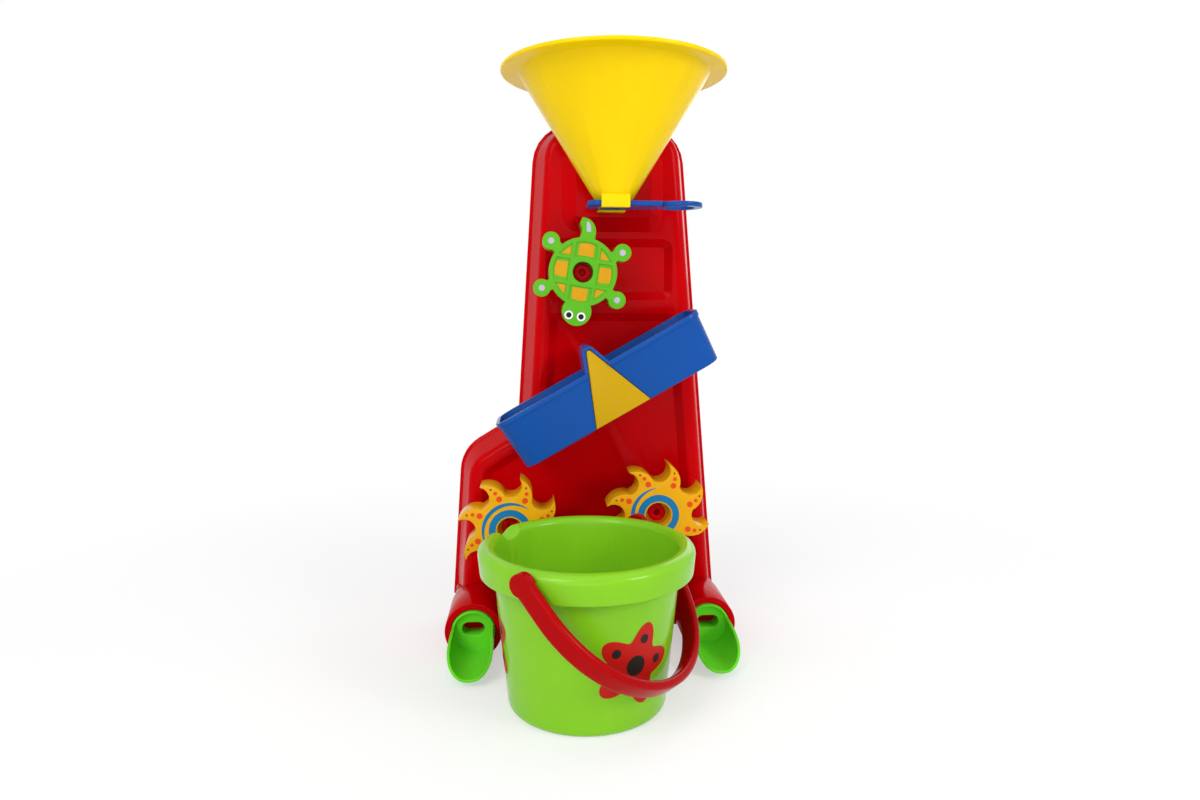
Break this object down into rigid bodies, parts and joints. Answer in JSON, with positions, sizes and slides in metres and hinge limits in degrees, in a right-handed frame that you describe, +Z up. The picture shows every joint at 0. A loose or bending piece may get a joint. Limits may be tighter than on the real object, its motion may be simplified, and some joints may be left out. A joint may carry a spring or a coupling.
{
  "type": "sand wheel toy",
  "caption": "Sand wheel toy: a red tower with a yellow funnel and gate, a turtle wheel, a tipping trough, sun wheels and scoop feet, with a green bucket.",
  "frame": {"origin": "Middle of the flat underside of the tower, on the floor", "axes": "+Z up, +X to the right as seen from the front, +Y away from the viewer; the wheels, funnel and bucket are on the -Y side"},
  "size_m": [0.2161, 0.2433, 0.419],
  "materials": {
    "tower_red": "smooth moulded polypropylene",
    "funnel_yellow": "smooth moulded polypropylene",
    "trough_blue": "smooth moulded polypropylene",
    "cover_yellow": "smooth moulded polypropylene",
    "turtle_green": "smooth moulded polypropylene",
    "bucket_green": "smooth moulded polypropylene",
    "scoop_green": "smooth moulded polypropylene",
    "sun_yellow": "smooth moulded polypropylene"
  },
  "bodies": {
    "tower": {"tower_shell": "tower_red", "left_foot_tube": "tower_red", "right_foot_tube": "tower_red", "funnel": "funnel_yellow", "turtle_axle_pin": "tower_red", "trough_axle_pin": "tower_red", "left_sun_axle_pin": "tower_red", "right_sun_axle_pin": "tower_red"},
    "gate": {"gate_slider": "trough_blue"},
    "turtle": {"turtle_wheel": "turtle_green"},
    "trough": {"tipping_trough": "trough_blue", "trough_cover": "cover_yellow"},
    "left_sun": {"left_sun_wheel": "sun_yellow"},
    "right_sun": {"right_sun_wheel": "sun_yellow"},
    "left_scoop_plug": {"left_scoop": "scoop_green"},
    "right_scoop_plug": {"right_scoop": "scoop_green"},
    "bucket_stand": {"bucket": "bucket_green"},
    "bail": {"bail_handle": "tower_red"}
  },
  "joints": [
    {"name": "gate_slide", "type": "slide", "parent": "tower", "child": "gate", "axis": [-1, 0, 0], "range_m": [0, 0.02]},
    {"name": "turtle_spin", "type": "hinge", "parent": "tower", "child": "turtle", "pos_m": [-0.0054, -0.047, 0.2795], "axis": [0, 1, 0], "continuous": true},
    {"name": "trough_tip", "type": "hinge", "parent": "tower", "child": "trough", "pos_m": [0.0148, -0.05, 0.1928], "axis": [0, 1, 0], "range_deg": [0, 59]},
    {"name": "left_sun_spin", "type": "hinge", "parent": "tower", "child": "left_sun", "pos_m": [-0.0592, -0.047, 0.0929], "axis": [0, 1, 0], "continuous": true},
    {"name": "right_sun_spin", "type": "hinge", "parent": "tower", "child": "right_sun", "pos_m": [0.05, -0.047, 0.10199], "axis": [0, 1, 0], "continuous": true},
    {"name": "left_scoop_pull", "type": "slide", "parent": "tower", "child": "left_scoop_plug", "axis": [0, -1, 0], "range_m": [0, 0.06]},
    {"name": "right_scoop_pull", "type": "slide", "parent": "tower", "child": "right_scoop_plug", "axis": [0, -1, 0], "range_m": [0, 0.06]},
    {"name": "bucket_pull", "type": "slide", "parent": "tower", "child": "bucket_stand", "axis": [0, -1, 0], "range_m": [0, 0.12]},
    {"name": "bail_swing", "type": "hinge", "parent": "bucket_stand", "child": "bail", "pos_m": [-0.008, -0.135, 0.1], "axis": [-0.5446, -0.8387, 0], "range_deg": [0, 150]}
  ]
}
